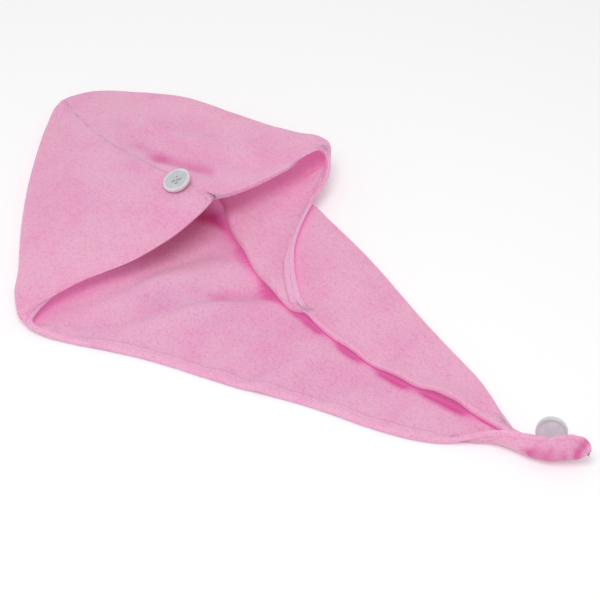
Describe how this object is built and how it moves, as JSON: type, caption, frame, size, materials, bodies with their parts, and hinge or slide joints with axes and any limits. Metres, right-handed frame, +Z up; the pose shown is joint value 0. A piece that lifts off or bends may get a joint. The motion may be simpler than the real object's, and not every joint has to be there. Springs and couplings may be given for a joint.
{
  "type": "hair turban towel",
  "caption": "Pink plush hair turban towel lying open: a hood with an open mouth, a back seam and a button, narrowing to a folded tail with a rolled tip and a second button.",
  "frame": {"origin": "middle of the towel's bounding box, on the surface that it lies on", "axes": "+X from the crown corner of the hood to the tip of the tail, +Z up"},
  "size_m": [0.6322, 0.3222, 0.0551],
  "materials": {
    "plush": "matte short plush",
    "shell": "soft gloss",
    "thread": "matte"
  },
  "bodies": {
    "root": {"near_panel": "plush", "far_panel": "plush", "nape_button": "shell", "nape_thread": "thread", "tail_button": "shell", "tail_thread": "thread"}
  },
  "joints": []
}
